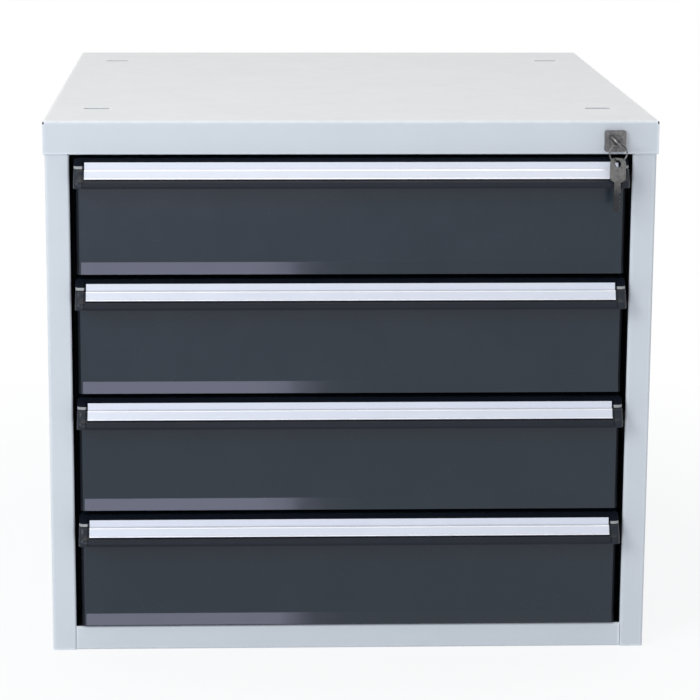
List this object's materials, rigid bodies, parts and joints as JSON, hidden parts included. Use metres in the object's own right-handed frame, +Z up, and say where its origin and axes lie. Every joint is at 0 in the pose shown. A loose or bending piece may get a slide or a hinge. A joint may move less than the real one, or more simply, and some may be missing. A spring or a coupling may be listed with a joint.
{
  "type": "drawer cabinet",
  "caption": "Steel workbench drawer cabinet: light grey carcass, dark drawers with full-width grip rails on telescopic slides, and a keyed cam lock with a locking bar.",
  "frame": {"origin": "middle of the underside of the base, on the surface that the cabinet stands on", "axes": "+X to the right as seen from the front, +Y to the back, +Z up; drawers open towards -Y"},
  "size_m": [0.58, 0.6305, 0.52],
  "materials": {
    "light_grey_paint": "powder coat",
    "dark_grey_paint": "satin powder coat",
    "black_plastic": "moulded satin",
    "strip_aluminium": "satin anodised",
    "zinc_steel": "zinc plated",
    "lock_chrome": "dull nickel",
    "key_steel": "nickel plated"
  },
  "bodies": {
    "cabinet": {"top_cover": "light_grey_paint", "left_side_panel": "light_grey_paint", "right_side_panel": "light_grey_paint", "base_panel": "light_grey_paint", "back_panel": "light_grey_paint", "cover_screws": "zinc_steel", "back_panel_rivets": "zinc_steel", "left_slide_uprights": "dark_grey_paint", "right_slide_uprights": "dark_grey_paint", "lock_housing": "lock_chrome", "lock_nut": "zinc_steel", "lock_bar_guides": "black_plastic", "drawer_1_cabinet_slides": "zinc_steel", "drawer_2_cabinet_slides": "zinc_steel", "drawer_3_cabinet_slides": "zinc_steel", "drawer_4_cabinet_slides": "zinc_steel"},
    "drawer_1": {"drawer_1_box": "dark_grey_paint", "drawer_1_front": "dark_grey_paint", "drawer_1_grip_rail": "black_plastic", "drawer_1_label_strip": "strip_aluminium", "drawer_1_grip_caps": "black_plastic", "drawer_1_lock_catch": "zinc_steel", "drawer_1_front_screws": "zinc_steel", "drawer_1_inner_slides": "zinc_steel"},
    "drawer_1_middle": {"drawer_1_middle_slides": "zinc_steel"},
    "drawer_2": {"drawer_2_box": "dark_grey_paint", "drawer_2_front": "dark_grey_paint", "drawer_2_grip_rail": "black_plastic", "drawer_2_label_strip": "strip_aluminium", "drawer_2_grip_caps": "black_plastic", "drawer_2_lock_catch": "zinc_steel", "drawer_2_front_screws": "zinc_steel", "drawer_2_inner_slides": "zinc_steel"},
    "drawer_2_middle": {"drawer_2_middle_slides": "zinc_steel"},
    "drawer_3": {"drawer_3_box": "dark_grey_paint", "drawer_3_front": "dark_grey_paint", "drawer_3_grip_rail": "black_plastic", "drawer_3_label_strip": "strip_aluminium", "drawer_3_grip_caps": "black_plastic", "drawer_3_lock_catch": "zinc_steel", "drawer_3_front_screws": "zinc_steel", "drawer_3_inner_slides": "zinc_steel"},
    "drawer_3_middle": {"drawer_3_middle_slides": "zinc_steel"},
    "drawer_4": {"drawer_4_box": "dark_grey_paint", "drawer_4_front": "dark_grey_paint", "drawer_4_grip_rail": "black_plastic", "drawer_4_label_strip": "strip_aluminium", "drawer_4_grip_caps": "black_plastic", "drawer_4_lock_catch": "zinc_steel", "drawer_4_front_screws": "zinc_steel", "drawer_4_inner_slides": "zinc_steel"},
    "drawer_4_middle": {"drawer_4_middle_slides": "zinc_steel"},
    "lock": {"lock_plug": "lock_chrome", "lock_cam": "zinc_steel"},
    "locking_bar": {"lock_bar": "zinc_steel"},
    "key_in_lock": {"key": "key_steel"},
    "hanging_ring": {"key_ring": "key_steel"},
    "hanging_key": {"spare_key": "key_steel"}
  },
  "joints": [
    {"name": "drawer_1_slide", "type": "slide", "parent": "cabinet", "child": "drawer_1", "axis": [0, -1, 0], "range_m": [0, 0.45], "deforming": ["key_ring", "spare_key"]},
    {"name": "drawer_1_middle_slide", "type": "slide", "parent": "cabinet", "child": "drawer_1_middle", "axis": [0, -1, 0], "range_m": [0, 0.225]},
    {"name": "drawer_2_slide", "type": "slide", "parent": "cabinet", "child": "drawer_2", "axis": [0, -1, 0], "range_m": [0, 0.45]},
    {"name": "drawer_2_middle_slide", "type": "slide", "parent": "cabinet", "child": "drawer_2_middle", "axis": [0, -1, 0], "range_m": [0, 0.225]},
    {"name": "drawer_3_slide", "type": "slide", "parent": "cabinet", "child": "drawer_3", "axis": [0, -1, 0], "range_m": [0, 0.45]},
    {"name": "drawer_3_middle_slide", "type": "slide", "parent": "cabinet", "child": "drawer_3_middle", "axis": [0, -1, 0], "range_m": [0, 0.225]},
    {"name": "drawer_4_slide", "type": "slide", "parent": "cabinet", "child": "drawer_4", "axis": [0, -1, 0], "range_m": [0, 0.45]},
    {"name": "drawer_4_middle_slide", "type": "slide", "parent": "cabinet", "child": "drawer_4_middle", "axis": [0, -1, 0], "range_m": [0, 0.225]},
    {"name": "lock_turn", "type": "hinge", "parent": "cabinet", "child": "lock", "pos_m": [0.248, -0.2985, 0.501], "axis": [0, 1, 0], "range_deg": [0, 90]},
    {"name": "locking_bar_drop", "type": "slide", "parent": "cabinet", "child": "locking_bar", "axis": [0, 0, -1], "range_m": [0, 0.01414]},
    {"name": "key_pull", "type": "slide", "parent": "lock", "child": "key_in_lock", "axis": [0, -1, 0], "range_m": [0, 0.026]},
    {"name": "ring_hang", "type": "hinge", "parent": "key_in_lock", "child": "hanging_ring", "pos_m": [0.248, -0.323, 0.501], "axis": [0, 1, 0], "range_deg": [-90, 0]},
    {"name": "spare_key_swing", "type": "hinge", "parent": "hanging_ring", "child": "hanging_key", "pos_m": [0.248, -0.323, 0.4838], "axis": [-0.9848, -0.1736, 0], "range_deg": [0, 80]}
  ],
  "couplings": [
    {"joint": "drawer_1_middle_slide", "follows": "drawer_1_slide", "ratio": 0.5},
    {"joint": "drawer_2_middle_slide", "follows": "drawer_2_slide", "ratio": 0.5},
    {"joint": "drawer_3_middle_slide", "follows": "drawer_3_slide", "ratio": 0.5},
    {"joint": "drawer_4_middle_slide", "follows": "drawer_4_slide", "ratio": 0.5},
    {"joint": "lock_turn", "follows": "locking_bar_drop", "rad_per_m": 111.07},
    {"joint": "ring_hang", "follows": "locking_bar_drop", "rad_per_m": -111.07}
  ]
}
